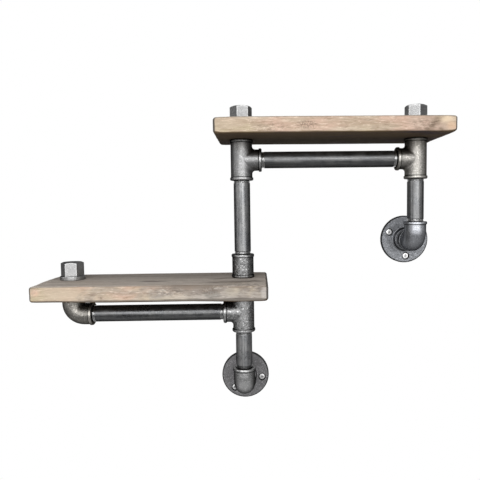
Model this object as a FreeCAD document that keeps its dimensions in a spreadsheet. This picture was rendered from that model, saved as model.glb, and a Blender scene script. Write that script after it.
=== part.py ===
"""Wall shelving unit: two boards carried by a frame of screwed three-quarter-inch steel pipe.

Millimetres, +Z up, front towards -Y. The origin is the centre of the lower wall flange's back face,
so the wall is the plane Y = 0 and the pipes run in one plane in front of it. From the lower flange
the run goes out through an elbow, up a drop pipe to a tee under the lower board, through the board
into a socket that clamps it, and up the riser to the upper board.
"""

import FreeCAD, Part
import math
import os
import Sketcher
from FreeCAD import Placement, Rotation, Vector

document = FreeCAD.newDocument("pipe_shelving_unit")

SAME = 1e-4  # two lengths closer than this are the same
LEAST_CUT = 1.0  # cubic millimetres that a working cut takes away at the least

# ---------------------------------------------------------------- driving dimensions

DIMENSIONS = [
    # steel pipe, nominal three-quarter inch
    ("pipe_diameter", 26.9),
    ("pipe_wall", 2.65),
    # taper thread: one in sixteen on the diameter, so one in thirty-two on the radius
    ("thread_cut", 0.8),  # from the pipe's surface to the thread's mean cone at a fitting's mouth
    ("thread_taper", 0.03125),
    ("thread_length", 15.0),  # screwed into a fitting
    ("thread_in_view", 3.5),  # left outside it
    ("thread_runout", 1.2),
    # malleable iron tees and elbows
    ("centre_to_end", 33.0),
    ("fitting_wall", 4.15),
    ("branch_step", 0.3),  # the branch barrel is this much thinner in radius than the run
    ("bead_rise", 1.4),
    ("bead_width", 5.0),
    ("bead_round", 2.0),
    ("crotch_round", 5.0),
    ("crook_radius", 1.0),  # inside corner of an elbow
    ("mouth_chamfer", 1.0),
    ("thread_shoulder", 0.7),  # the waterway is this much smaller than the thread's inner end
    ("branch_waterway_step", 0.3),
    # socket that joins the riser to the nipple through the lower board
    ("socket_length", 39.0),
    ("socket_bead_rise", 1.0),
    # hexagon caps
    ("cap_height", 29.0),
    ("cap_wall", 2.4),  # from the pipe's surface to a flat
    ("cap_collar_height", 6.5),
    ("cap_collar_rise", 1.2),  # beyond the hexagon's corners
    ("cap_edge_round", 1.0),
    ("cap_roof", 5.0),
    ("cap_crown_drop", 2.6),
    ("lower_left_cap_turn", 10.0),
    ("upper_left_cap_turn", 11.0),
    ("upper_right_cap_turn", 34.5),
    # wall flanges
    ("flange_plate", 6.5),
    ("flange_height", 15.5),
    ("flange_rim", 11.75),  # from the screw circle to the disc's edge
    ("flange_edge_round", 2.0),
    ("hub_wall", 5.55),
    ("hub_draft", 1.0),
    ("hub_root_round", 2.5),
    ("hub_edge_round", 1.5),
    ("screw_count", 3),
    ("screw_circle", 60.0),
    ("screw_hole", 6.5),
    ("countersink", 13.0),
    ("countersink_angle", 90.0),
    ("upper_flange_turn", 34.5),
    ("lower_flange_turn", -9.5),
    # boards
    ("board_thickness", 24.0),
    ("board_depth", 141.0),
    ("board_wall_gap", 1.5),
    ("board_hole_clearance", 0.55),
    ("board_edge_round", 2.5),
    ("riser_overhang", 40.0),  # board end beyond the riser's axis
    ("outer_overhang", 41.0),  # board end beyond the outer pipe's axis
    # pipe left in view between two fittings
    ("upper_rail_length", 220.0),
    ("lower_rail_length", 214.0),
    ("riser_length", 120.0),
    ("upper_drop_length", 70.0),
    ("lower_drop_length", 61.0),
    ("wall_nipple_length", 20.0),
]

sizes = document.addObject("Spreadsheet::Sheet", "sizes")
for row, (alias, number) in enumerate(DIMENSIONS, start=1):
    sizes.set(f"A{row}", alias.replace("_", " "))
    sizes.set(f"B{row}", str(number))
    sizes.setAlias(f"B{row}", alias)
document.recompute()

# ---------------------------------------------------------------- derived sizes, as expressions

pipe_radius = "(sizes.pipe_diameter / 2)"
pipe_bore = f"({pipe_radius} - sizes.pipe_wall)"
thread_mouth = f"({pipe_radius} - sizes.thread_cut)"
thread_tip = f"({thread_mouth} - sizes.thread_length * sizes.thread_taper)"
thread_neck = f"({thread_mouth} + sizes.thread_in_view * sizes.thread_taper)"
waterway = f"({thread_tip} - sizes.thread_shoulder)"

reach = "sizes.centre_to_end"
body_radius = f"({pipe_radius} + sizes.fitting_wall)"
bead_radius = f"({body_radius} + sizes.bead_rise)"
branch_radius = f"({body_radius} - sizes.branch_step)"
branch_waterway = f"({waterway} - sizes.branch_waterway_step)"
bend_radius = f"({body_radius} + sizes.crook_radius)"
bead_back_round = "min(sizes.bead_round; 0.8 * sizes.bead_rise)"
socket_bead_radius = f"({body_radius} + sizes.socket_bead_rise)"
socket_bead_back_round = "min(sizes.bead_round; 0.8 * sizes.socket_bead_rise)"

cap_apothem = f"({pipe_radius} + sizes.cap_wall)"
cap_corner = f"({cap_apothem} / cos(30 deg))"
cap_collar = f"({cap_corner} + sizes.cap_collar_rise)"

screw_radius = "(sizes.screw_circle / 2)"
flange_radius = f"({screw_radius} + sizes.flange_rim)"
hub_radius = f"({pipe_radius} + sizes.hub_wall)"
hub_root = f"({hub_radius} + sizes.hub_draft)"

# places in the assembled unit
pipe_plane = f"(-sizes.flange_height - sizes.wall_nipple_length - {reach})"
lower_elbow_z = "0"
lower_tee_z = f"(2 * {reach} + sizes.lower_drop_length)"
lower_board_z = f"({lower_tee_z} + {reach})"
socket_z = f"({lower_board_z} + sizes.board_thickness)"
riser_z = f"({socket_z} + sizes.socket_length)"
upper_tee_z = f"({riser_z} + sizes.riser_length + {reach})"
upper_board_z = f"({upper_tee_z} + {reach})"
upper_cap_z = f"({upper_board_z} + sizes.board_thickness)"
upper_drop_z = f"({upper_tee_z} - {reach} - sizes.upper_drop_length)"
upper_elbow_z = f"({upper_drop_z} - {reach})"
riser_x = "0"
right_x = f"(2 * {reach} + sizes.upper_rail_length)"
left_x = f"(-2 * {reach} - sizes.lower_rail_length)"


def value(expression):
    """The number that an expression on the sheet gives now."""
    result = sizes.evalExpression(expression)
    return float(getattr(result, "Value", result))


# ---------------------------------------------------------------- tools for building a piece


def new_body(name):
    body = document.addObject("PartDesign::Body", name)
    body.Label = name
    return body


def origin_feature(body, role):
    return next(feature for feature in body.Origin.OriginFeatures if feature.Role == role)


def new_sketch(body, name, role):
    sketch = body.newObject("Sketcher::SketchObject", f"{body.Name}_{name}")
    sketch.AttachmentSupport = [(origin_feature(body, role), "")]
    sketch.MapMode = "FlatFace"
    return sketch


def bind_point(sketch, edge, end, name, across, up):
    """Ties one end of an edge to the sketch's origin by two expressions."""
    for kind, expression, axis in (("DistanceX", across, -2), ("DistanceY", up, -1)):
        if expression == "0":
            sketch.addConstraint(Sketcher.Constraint("PointOnObject", edge, end, axis))
            continue
        datum = Sketcher.Constraint(kind, -1, 1, edge, end, value(expression))
        index = sketch.addConstraint(datum)
        label = f"{name}_{kind[-1].lower()}"
        sketch.renameConstraint(index, label)
        sketch.setExpression(f"Constraints.{label}", expression)


def bind_radius(sketch, edge, radius):
    index = sketch.addConstraint(Sketcher.Constraint("Radius", edge, value(radius)))
    sketch.renameConstraint(index, "radius")
    sketch.setExpression("Constraints.radius", radius)


def outline(body, name, role, corners):
    """A closed outline of straight edges; each corner is a pair of expressions."""
    sketch = new_sketch(body, name, role)
    points = [Vector(value(across), value(up), 0) for across, up in corners]
    count = len(points)
    for index, point in enumerate(points):
        sketch.addGeometry(Part.LineSegment(point, points[(index + 1) % count]))
    for index in range(count):
        following = (index + 1) % count
        sketch.addConstraint(Sketcher.Constraint("Coincident", index, 2, following, 1))
    for index, (across, up) in enumerate(corners):
        bind_point(sketch, index, 1, f"corner_{index}", across, up)
    return sketch


def circle(body, name, role, radius, across="0", up="0"):
    sketch = new_sketch(body, name, role)
    centre = Vector(value(across), value(up), 0)
    sketch.addGeometry(Part.Circle(centre, Vector(0, 0, 1), value(radius)))
    bind_point(sketch, 0, 3, "centre", across, up)
    bind_radius(sketch, 0, radius)
    return sketch


def revolve(body, name, sketch, axis, cut=False):
    """Turns a half section about one of its sketch's own axes, to add or to cut."""
    before = body.Shape.Volume if cut else 0
    kind = "PartDesign::Groove" if cut else "PartDesign::Revolution"
    feature = body.newObject(kind, f"{body.Name}_{name}")
    feature.Profile = sketch
    feature.ReferenceAxis = (sketch, [axis])
    feature.Angle = 360
    document.recompute()
    if cut:
        require_less(body, name, before)
    return feature


def require_less(body, name, before):
    if not body.Shape.Volume < before - LEAST_CUT:
        raise RuntimeError(f"{body.Name}: {name} cuts nothing")


def round_edges(body, name, radius, chosen):
    """Fillets every edge of the body that the test picks."""
    base = body.Tip
    names = [f"Edge{number}" for number, edge in enumerate(base.Shape.Edges, 1) if chosen(edge)]
    if not names:
        raise RuntimeError(f"{body.Name}: {name} finds no edge")
    fillet = body.newObject("PartDesign::Fillet", f"{body.Name}_{name}")
    fillet.Base = (base, names)
    fillet.setExpression("Radius", radius)
    document.recompute()
    return fillet


def is_ring(edge, radius):
    """Whether an edge is a circle of the radius that an expression gives."""
    return isinstance(edge.Curve, Part.Circle) and is_at(edge.Curve.Radius, radius)


def is_at(number, expression):
    return abs(number - value(expression)) < SAME


def round_beads(body, radius, back_round, is_mouth):
    """Rounds each bead's two outer edges: the one at the mouth, then the one towards the barrel."""

    def is_face(edge):
        return is_ring(edge, radius) and is_mouth(edge.Curve.Center)

    def is_back(edge):
        return is_ring(edge, radius) and not is_mouth(edge.Curve.Center)

    round_edges(body, "bead_faces", "sizes.bead_round", is_face)
    round_edges(body, "bead_backs", back_round, is_back)


def is_fitting_mouth(centre):
    return is_at(centre.Length, reach)


def is_socket_mouth(centre):
    return is_at(centre.z, "0") or is_at(centre.z, "sizes.socket_length")


def place(body, across, along, up, turned=Rotation()):
    body.Placement = Placement(Vector(0, 0, 0), turned)
    body.setExpression("Placement.Base.x", across)
    body.setExpression("Placement.Base.y", along)
    body.setExpression("Placement.Base.z", up)


# ---------------------------------------------------------------- pipes


def pipe(name, length):
    """A pipe along Z with its lower fitting's mouth at Z = 0 and its upper one's at Z = length.

    Each end is cut to the thread's mean cone: the part in view is a short neck that runs out to
    the full diameter, and the rest seats on the same cone inside the fitting.
    """
    body = new_body(name)
    neck_top = "sizes.thread_in_view"
    full_from = "(sizes.thread_in_view + sizes.thread_runout)"
    section = [
        (pipe_bore, "-sizes.thread_length"),
        (thread_tip, "-sizes.thread_length"),
        (thread_neck, neck_top),
        (pipe_radius, full_from),
        (pipe_radius, f"({length} - {full_from})"),
        (thread_neck, f"({length} - {neck_top})"),
        (thread_tip, f"({length} + sizes.thread_length)"),
        (pipe_bore, f"({length} + sizes.thread_length)"),
    ]
    revolve(body, "tube", outline(body, "section", "XZ_Plane", section), "V_Axis")
    return body


ALONG_X = Rotation(Vector(0, 1, 0), 90)
TO_WALL = Rotation(Vector(1, 0, 0), -90)

place(pipe("upper_rail_pipe", "sizes.upper_rail_length"), reach, pipe_plane, upper_tee_z, ALONG_X)
lower_rail_x = f"({left_x} + {reach})"
place(pipe("lower_rail_pipe", "sizes.lower_rail_length"), lower_rail_x, pipe_plane, lower_tee_z, ALONG_X)
place(pipe("riser_pipe", "sizes.riser_length"), riser_x, pipe_plane, riser_z)
place(pipe("upper_drop_pipe", "sizes.upper_drop_length"), right_x, pipe_plane, upper_drop_z)
place(pipe("lower_drop_pipe", "sizes.lower_drop_length"), riser_x, pipe_plane, reach)

# nipples through the boards, each from the fitting under its board to the cap or socket on top
BOARD_NIPPLES = [
    ("upper_left_board_nipple", riser_x, upper_board_z),
    ("upper_right_board_nipple", right_x, upper_board_z),
    ("lower_left_board_nipple", left_x, lower_board_z),
    ("lower_right_board_nipple", riser_x, lower_board_z),
]
for nipple_name, nipple_x, nipple_z in BOARD_NIPPLES:
    place(pipe(nipple_name, "sizes.board_thickness"), nipple_x, pipe_plane, nipple_z)

# nipples from the wall elbows back to the flanges
elbow_mouth_y = f"({pipe_plane} + {reach})"
WALL_NIPPLES = [("upper_wall_nipple", right_x, upper_elbow_z), ("lower_wall_nipple", riser_x, lower_elbow_z)]
for nipple_name, nipple_x, nipple_z in WALL_NIPPLES:
    place(pipe(nipple_name, "sizes.wall_nipple_length"), nipple_x, elbow_mouth_y, nipple_z, TO_WALL)

# ---------------------------------------------------------------- threaded mouths


def chamfer_section(mouth, inward):
    """The start of a threaded bore's half section: its mouth, chamfered down to the taper cone.

    mouth is a place along the bore's axis, and inward the sign that leads from it into the metal.
    """
    chamfer_end = f"({mouth} {inward} sizes.mouth_chamfer)"
    return [
        ("0", mouth),
        (f"({thread_mouth} + sizes.mouth_chamfer)", mouth),
        (f"({thread_mouth} - sizes.mouth_chamfer * sizes.thread_taper)", chamfer_end),
    ]


def thread_section(mouth, inward):
    """Half section of a threaded bore alone, as far as the thread's inner end."""
    thread_end = f"({mouth} {inward} sizes.thread_length)"
    return chamfer_section(mouth, inward) + [(thread_tip, thread_end), ("0", thread_end)]


def bore_section(mouth, inward, inner, bottom):
    """Half section of a threaded bore, its shoulder and its waterway of radius inner to the bottom."""
    thread_end = f"({mouth} {inward} sizes.thread_length)"
    cone = chamfer_section(mouth, inward) + [(thread_tip, thread_end)]
    return cone + [(inner, thread_end), (inner, bottom), ("0", bottom)]


def swapped(section):
    return [(up, across) for across, up in section]


# ---------------------------------------------------------------- tees


def beaded_run(bead, half_length):
    """Half section of a solid barrel along Z with a bead at each end."""
    bead_start = f"({half_length} - sizes.bead_width)"
    return [
        ("0", f"-{half_length}"),
        (bead, f"-{half_length}"),
        (bead, f"-{bead_start}"),
        (body_radius, f"-{bead_start}"),
        (body_radius, bead_start),
        (bead, bead_start),
        (bead, half_length),
        ("0", half_length),
    ]


def tee(name):
    """A tee with its run along Z and its branch towards +X."""
    body = new_body(name)
    bead_start = f"({reach} - sizes.bead_width)"
    branch = [
        ("0", "0"),
        (reach, "0"),
        (reach, bead_radius),
        (bead_start, bead_radius),
        (bead_start, branch_radius),
        ("0", branch_radius),
    ]
    revolve(body, "run", outline(body, "run_section", "XZ_Plane", beaded_run(bead_radius, reach)), "V_Axis")
    revolve(body, "branch", outline(body, "branch_section", "XZ_Plane", branch), "H_Axis")
    round_edges(body, "crotch", "sizes.crotch_round", lambda edge: isinstance(edge.Curve, Part.BSplineCurve))
    round_beads(body, bead_radius, bead_back_round, is_fitting_mouth)
    upper_section = bore_section(reach, "-", waterway, "0")
    lower_section = bore_section(f"-{reach}", "+", waterway, "0")
    side_section = swapped(bore_section(reach, "-", branch_waterway, "0"))
    upper_mouth = outline(body, "upper_mouth", "XZ_Plane", upper_section)
    lower_mouth = outline(body, "lower_mouth", "XZ_Plane", lower_section)
    side_mouth = outline(body, "side_mouth", "XZ_Plane", side_section)
    revolve(body, "upper_bore", upper_mouth, "V_Axis", cut=True)
    revolve(body, "lower_bore", lower_mouth, "V_Axis", cut=True)
    revolve(body, "side_bore", side_mouth, "H_Axis", cut=True)
    return body


HALF_TURN = Rotation(Vector(0, 0, 1), 180)
QUARTER_TURN = Rotation(Vector(0, 0, 1), 90)

place(tee("upper_left_tee"), riser_x, pipe_plane, upper_tee_z)
place(tee("upper_right_tee"), right_x, pipe_plane, upper_tee_z, HALF_TURN)
place(tee("lower_tee"), riser_x, pipe_plane, lower_tee_z, HALF_TURN)

# ---------------------------------------------------------------- elbows


def bend_path(body):
    """The elbow's centre line: down from its upper mouth, round the bend and out along +X."""
    sketch = new_sketch(body, "path", "XZ_Plane")
    bend = value(bend_radius)
    end = value(reach)
    centre = Vector(bend, bend, 0)
    sketch.addGeometry(Part.LineSegment(Vector(0, end, 0), Vector(0, bend, 0)))
    bend_circle = Part.Circle(centre, Vector(0, 0, 1), bend)
    sketch.addGeometry(Part.ArcOfCircle(bend_circle, math.pi, 1.5 * math.pi))
    sketch.addGeometry(Part.LineSegment(Vector(bend, 0, 0), Vector(end, 0, 0)))
    sketch.addConstraint(Sketcher.Constraint("Coincident", 0, 2, 1, 1))
    sketch.addConstraint(Sketcher.Constraint("Coincident", 1, 2, 2, 1))
    sketch.addConstraint(Sketcher.Constraint("Horizontal", 1, 3, 1, 1))
    sketch.addConstraint(Sketcher.Constraint("Vertical", 1, 3, 1, 2))
    bind_radius(sketch, 1, bend_radius)
    bind_point(sketch, 1, 3, "bend_centre", bend_radius, bend_radius)
    bind_point(sketch, 0, 1, "upper_mouth", "0", reach)
    bind_point(sketch, 2, 2, "side_mouth", reach, "0")
    return sketch


def sweep(body, name, sketch, path, cut=False):
    before = body.Shape.Volume if cut else 0
    kind = "PartDesign::SubtractivePipe" if cut else "PartDesign::AdditivePipe"
    feature = body.newObject(kind, f"{body.Name}_{name}")
    feature.Profile = sketch
    feature.Spine = (path, ["Edge1", "Edge2", "Edge3"])
    document.recompute()
    if cut:
        require_less(body, name, before)
    return feature


def end_bead_section():
    """Half section, along +Y of its sketch, of the bead at one end of an elbow."""
    bead_start = f"({reach} - sizes.bead_width)"
    return [("0", bead_start), (bead_radius, bead_start), (bead_radius, reach), ("0", reach)]


def end_circle(body, name, radius):
    """A circle about the elbow's vertical leg, at its upper mouth."""
    sketch = circle(body, name, "XY_Plane", radius)
    sketch.setExpression("AttachmentOffset.Base.z", reach)
    return sketch


def elbow(name):
    """A right-angled elbow with one mouth up and the other towards +X."""
    body = new_body(name)
    path = bend_path(body)
    sweep(body, "bend", end_circle(body, "outer_circle", body_radius), path)
    upper_bead = outline(body, "upper_bead_section", "XZ_Plane", end_bead_section())
    side_bead = outline(body, "side_bead_section", "XZ_Plane", swapped(end_bead_section()))
    revolve(body, "upper_bead", upper_bead, "V_Axis")
    revolve(body, "side_bead", side_bead, "H_Axis")
    round_beads(body, bead_radius, bead_back_round, is_fitting_mouth)
    sweep(body, "waterway", end_circle(body, "inner_circle", waterway), path, cut=True)
    upper_section = thread_section(reach, "-")
    upper_mouth = outline(body, "upper_mouth", "XZ_Plane", upper_section)
    side_mouth = outline(body, "side_mouth", "XZ_Plane", swapped(upper_section))
    revolve(body, "upper_thread", upper_mouth, "V_Axis", cut=True)
    revolve(body, "side_thread", side_mouth, "H_Axis", cut=True)
    return body


place(elbow("lower_left_elbow"), left_x, pipe_plane, lower_tee_z)
place(elbow("upper_wall_elbow"), right_x, pipe_plane, upper_elbow_z, QUARTER_TURN)
place(elbow("lower_wall_elbow"), riser_x, pipe_plane, lower_elbow_z, QUARTER_TURN)

# ---------------------------------------------------------------- socket


def socket(name):
    """A straight socket standing on Z = 0, threaded from both ends."""
    body = new_body(name)
    length = "sizes.socket_length"
    bead_end = "sizes.bead_width"
    bead_start = f"({length} - sizes.bead_width)"
    barrel = [
        ("0", "0"),
        (socket_bead_radius, "0"),
        (socket_bead_radius, bead_end),
        (body_radius, bead_end),
        (body_radius, bead_start),
        (socket_bead_radius, bead_start),
        (socket_bead_radius, length),
        ("0", length),
    ]
    revolve(body, "barrel", outline(body, "barrel_section", "XZ_Plane", barrel), "V_Axis")
    round_beads(body, socket_bead_radius, socket_bead_back_round, is_socket_mouth)
    middle = f"({length} / 2)"
    upper_section = bore_section(length, "-", waterway, middle)
    lower_section = bore_section("0", "+", waterway, middle)
    upper_mouth = outline(body, "upper_mouth", "XZ_Plane", upper_section)
    lower_mouth = outline(body, "lower_mouth", "XZ_Plane", lower_section)
    revolve(body, "upper_bore", upper_mouth, "V_Axis", cut=True)
    revolve(body, "lower_bore", lower_mouth, "V_Axis", cut=True)
    return body


place(socket("riser_socket"), riser_x, pipe_plane, socket_z)

# ---------------------------------------------------------------- hexagon caps


def hex_cap(name):
    """A cap on Z = 0: a round collar, a crowned hexagon and a blind threaded bore from below."""
    body = new_body(name)
    height = "sizes.cap_height"
    collar_height = "sizes.cap_collar_height"
    corners = [
        (f"({cap_corner} * cos({angle} deg))", f"({cap_corner} * sin({angle} deg))")
        for angle in range(0, 360, 60)
    ]
    hexagon = body.newObject("PartDesign::Pad", f"{name}_hexagon")
    hexagon.Profile = outline(body, "hexagon_outline", "XY_Plane", corners)
    hexagon.setExpression("Length", height)
    document.recompute()
    round_edges(body, "arrises", "sizes.cap_edge_round", is_hexagon_arris)
    collar = [("0", "0"), (cap_collar, "0"), (cap_collar, collar_height), ("0", collar_height)]
    revolve(body, "collar", outline(body, "collar_section", "XZ_Plane", collar), "V_Axis")
    round_edges(body, "collar_edges", "sizes.cap_edge_round", lambda edge: is_ring(edge, cap_collar))
    crown_foot = f"({height} - sizes.cap_crown_drop)"
    crown = [
        (f"({cap_apothem} - sizes.cap_edge_round)", height),
        (f"({cap_collar} + sizes.cap_edge_round)", height),
        (f"({cap_collar} + sizes.cap_edge_round)", crown_foot),
    ]
    revolve(body, "crown", outline(body, "crown_section", "XZ_Plane", crown), "V_Axis", cut=True)
    roof = f"({height} - sizes.cap_roof)"
    bore = outline(body, "bore_section", "XZ_Plane", bore_section("0", "+", waterway, roof))
    revolve(body, "bore", bore, "V_Axis", cut=True)
    return body


def is_hexagon_arris(edge):
    """Whether an edge is one of the hexagon's upright corners."""
    box = edge.BoundBox
    upright = is_at(box.XLength, "0") and is_at(box.YLength, "0")
    return upright and is_at(math.hypot(box.XMin, box.YMin), cap_corner)


def turn(alias):
    return Rotation(Vector(0, 0, 1), value(f"sizes.{alias}"))


lower_cap_z = socket_z
place(hex_cap("lower_left_hex_cap"), left_x, pipe_plane, lower_cap_z, turn("lower_left_cap_turn"))
place(hex_cap("upper_left_hex_cap"), riser_x, pipe_plane, upper_cap_z, turn("upper_left_cap_turn"))
place(hex_cap("upper_right_hex_cap"), right_x, pipe_plane, upper_cap_z, turn("upper_right_cap_turn"))

# ---------------------------------------------------------------- wall flanges


def flange(name):
    """A flange with its back face on Z = 0 and its threaded hub towards +Z."""
    body = new_body(name)
    plate = "sizes.flange_plate"
    height = "sizes.flange_height"
    disc = [
        ("0", "0"),
        (flange_radius, "0"),
        (flange_radius, plate),
        (hub_root, plate),
        (hub_radius, height),
        ("0", height),
    ]
    revolve(body, "disc", outline(body, "disc_section", "XZ_Plane", disc), "V_Axis")
    round_edges(
        body,
        "rim",
        "sizes.flange_edge_round",
        lambda edge: is_ring(edge, flange_radius) and is_at(edge.Curve.Center.z, plate),
    )
    round_edges(body, "hub_root", "sizes.hub_root_round", lambda edge: is_ring(edge, hub_root))
    round_edges(
        body,
        "hub_edge",
        "sizes.hub_edge_round",
        lambda edge: is_ring(edge, hub_radius) and is_at(edge.Curve.Center.z, height),
    )
    cone_at_back = f"({thread_mouth} - {height} * sizes.thread_taper)"
    through = chamfer_section(height, "-") + [(cone_at_back, "0"), ("0", "0")]
    bore = outline(body, "bore_section", "XZ_Plane", through)
    revolve(body, "bore", bore, "V_Axis", cut=True)
    screw_holes(body)
    return body


def screw_holes(body):
    """Countersunk holes, evenly spaced on the screw circle."""
    before = body.Shape.Volume
    sketch = circle(body, "screw_hole", "XY_Plane", "(sizes.screw_hole / 2)", across=screw_radius)
    sketch.setExpression("AttachmentOffset.Base.z", "sizes.flange_plate")
    hole = body.newObject("PartDesign::Hole", f"{body.Name}_screw_hole_cut")
    hole.Profile = sketch
    document.recompute()
    hole.DepthType = "ThroughAll"
    hole.setExpression("Diameter", "sizes.screw_hole")
    hole.HoleCutType = "Countersink"
    hole.setExpression("HoleCutDiameter", "sizes.countersink")
    hole.setExpression("HoleCutCountersinkAngle", "sizes.countersink_angle")
    document.recompute()
    one_hole = before - body.Shape.Volume
    pattern = body.newObject("PartDesign::PolarPattern", f"{body.Name}_screw_holes")
    pattern.Originals = [hole]
    pattern.Axis = (origin_feature(body, "Z_Axis"), [""])
    pattern.Angle = 360
    pattern.setExpression("Occurrences", "sizes.screw_count")
    body.Tip = pattern
    document.recompute()
    if not is_at((before - body.Shape.Volume) / one_hole, "sizes.screw_count"):
        raise RuntimeError(f"{body.Name}: the screw holes are not alike")


FACING_FRONT = Rotation(Vector(1, 0, 0), 90)

upper_flange_turned = FACING_FRONT.multiply(turn("upper_flange_turn"))
lower_flange_turned = FACING_FRONT.multiply(turn("lower_flange_turn"))
place(flange("upper_wall_flange"), right_x, "0", upper_elbow_z, upper_flange_turned)
place(flange("lower_wall_flange"), riser_x, "0", lower_elbow_z, lower_flange_turned)

# ---------------------------------------------------------------- boards


def board(name, holes, left_end, right_end):
    """A board lying on Z = 0 with its pipe holes on Y = 0; places along X are expressions."""
    body = new_body(name)
    back = f"(-sizes.board_wall_gap - {pipe_plane})"
    front = f"({back} - sizes.board_depth)"
    rectangle = [(left_end, front), (right_end, front), (right_end, back), (left_end, back)]
    plank = body.newObject("PartDesign::Pad", f"{name}_plank")
    plank.Profile = outline(body, "outline", "XY_Plane", rectangle)
    plank.setExpression("Length", "sizes.board_thickness")
    document.recompute()
    round_edges(body, "edges", "sizes.board_edge_round", lambda edge: True)
    for index, hole_x in enumerate(holes):
        before = body.Shape.Volume
        radius = f"({pipe_radius} + sizes.board_hole_clearance)"
        pocket = body.newObject("PartDesign::Pocket", f"{name}_hole_{index}")
        pocket.Profile = circle(body, f"hole_{index}_circle", "XY_Plane", radius, across=hole_x)
        pocket.Type = "ThroughAll"
        pocket.Reversed = True
        document.recompute()
        require_less(body, f"hole {index}", before)
    return body


upper_ends = ("-sizes.riser_overhang", f"({right_x} + sizes.outer_overhang)")
lower_ends = (f"({left_x} - sizes.outer_overhang)", "sizes.riser_overhang")
upper_board = board("upper_shelf_board", [riser_x, right_x], *upper_ends)
lower_board = board("lower_shelf_board", [left_x, riser_x], *lower_ends)
place(upper_board, riser_x, pipe_plane, upper_board_z)
place(lower_board, riser_x, pipe_plane, lower_board_z)

# ---------------------------------------------------------------- checks and export

document.recompute()
for item in document.Objects:
    if "Invalid" in item.State or "Error" in item.State:
        raise RuntimeError(f"{item.Label} failed: {item.State}")

pieces = [item for item in document.Objects if item.isDerivedFrom("PartDesign::Body")]
os.makedirs("parts", exist_ok=True)
for piece in pieces:
    shape = piece.Shape
    if shape.isNull() or not shape.isValid() or len(shape.Solids) != 1:
        raise RuntimeError(f"{piece.Label} is not one valid solid")
    shape.exportStep(f"parts/{piece.Label}.step")
print(f"{len(pieces)} pieces written")
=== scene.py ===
"""Looks of the wall shelving unit: reclaimed boards on a frame of screwed black steel pipe.

Metres, +Z up, the wall plane is Y = 0 and the front faces -Y. The pipes, fittings, caps and flanges
are the CAD nodes with finishes of their own. The boards are worn meshes that stand for the plain CAD
boards, and the cut threads in view and the wall screws are added here.
"""

import math

import bmesh
import bpy
from mathutils import Matrix, Vector, noise


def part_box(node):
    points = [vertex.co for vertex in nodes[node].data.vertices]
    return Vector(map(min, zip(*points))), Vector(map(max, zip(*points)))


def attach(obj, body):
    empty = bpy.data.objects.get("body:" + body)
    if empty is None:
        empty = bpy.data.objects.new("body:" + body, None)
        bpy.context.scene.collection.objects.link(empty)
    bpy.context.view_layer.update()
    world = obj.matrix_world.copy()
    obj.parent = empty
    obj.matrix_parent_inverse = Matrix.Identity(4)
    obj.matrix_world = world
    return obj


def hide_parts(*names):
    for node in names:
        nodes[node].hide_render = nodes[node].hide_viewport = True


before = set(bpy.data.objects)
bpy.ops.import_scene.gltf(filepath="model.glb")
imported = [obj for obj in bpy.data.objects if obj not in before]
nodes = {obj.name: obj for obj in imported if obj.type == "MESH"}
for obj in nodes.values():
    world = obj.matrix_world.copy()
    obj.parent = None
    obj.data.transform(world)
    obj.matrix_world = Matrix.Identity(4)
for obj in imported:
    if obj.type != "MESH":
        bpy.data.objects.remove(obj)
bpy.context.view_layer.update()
scene = bpy.context.scene
MM = 0.001


def smooth_share(value, start, end):
    """How far a value has gone from start to end, eased at both, from 0 to 1."""
    share = min(max((value - start) / (end - start), 0.0), 1.0)
    return share * share * (3 - 2 * share)


# ---------------------------------------------------------------- camera

IMAGE_SIDE = 480  # pixels
FOCAL = 513.3  # pixels
PRINCIPAL = (267.77, 241.13)  # pixels, from the image's top left corner
CAMERA_PLACE = Vector((25.39, -914.16, 294.66)) * MM
CAMERA_YAW = 0.0190  # radians, to the right
CAMERA_PITCH = -0.0608  # radians, up
CAMERA_ROLL = 0.0113  # radians, clockwise
SENSOR = 36.0  # millimetres
CLIP_END = 30.0  # metres


def add_camera():
    """The camera, turned by its yaw and pitch and then rolled about its own line of sight."""
    ahead = Vector(
        (
            math.sin(CAMERA_YAW) * math.cos(CAMERA_PITCH),
            math.cos(CAMERA_YAW) * math.cos(CAMERA_PITCH),
            math.sin(CAMERA_PITCH),
        )
    )
    level = Vector((math.cos(CAMERA_YAW), -math.sin(CAMERA_YAW), 0.0))
    down = ahead.cross(level)
    right = level * math.cos(CAMERA_ROLL) + down * math.sin(CAMERA_ROLL)
    below = down * math.cos(CAMERA_ROLL) - level * math.sin(CAMERA_ROLL)
    data = bpy.data.cameras.new("camera")
    data.sensor_width = SENSOR
    data.lens = FOCAL * SENSOR / IMAGE_SIDE
    data.shift_x = 0.5 - PRINCIPAL[0] / IMAGE_SIDE
    data.shift_y = PRINCIPAL[1] / IMAGE_SIDE - 0.5
    data.clip_end = CLIP_END
    camera = bpy.data.objects.new("camera", data)
    turned = Matrix((right, -below, -ahead)).transposed().to_4x4()
    camera.matrix_world = Matrix.Translation(CAMERA_PLACE) @ turned
    scene.collection.objects.link(camera)
    scene.camera = camera


# ---------------------------------------------------------------- node trees


def wire(tree, socket, value):
    """Links a socket to another one, or sets its value."""
    if isinstance(value, bpy.types.NodeSocket):
        tree.links.new(value, socket)
    else:
        socket.default_value = value


def add(tree, kind, inputs=None, **settings):
    """A node of a kind such as "TexNoise" with its settings and inputs; gives its first output."""
    node = tree.nodes.new(f"ShaderNode{kind}")
    for name, value in settings.items():
        setattr(node, name, value)
    for name, value in (inputs or {}).items():
        wire(tree, node.inputs[name], value)
    return node.outputs[0]


def calculate(tree, operation, first, second=0.0, clamp=False):
    return add(tree, "Math", {0: first, 1: second}, operation=operation, use_clamp=clamp)


def times(tree, first, second):
    return calculate(tree, "MULTIPLY", first, second)


def plus(tree, first, second):
    return calculate(tree, "ADD", first, second)


def minus(tree, first, second):
    return calculate(tree, "SUBTRACT", first, second)


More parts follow.
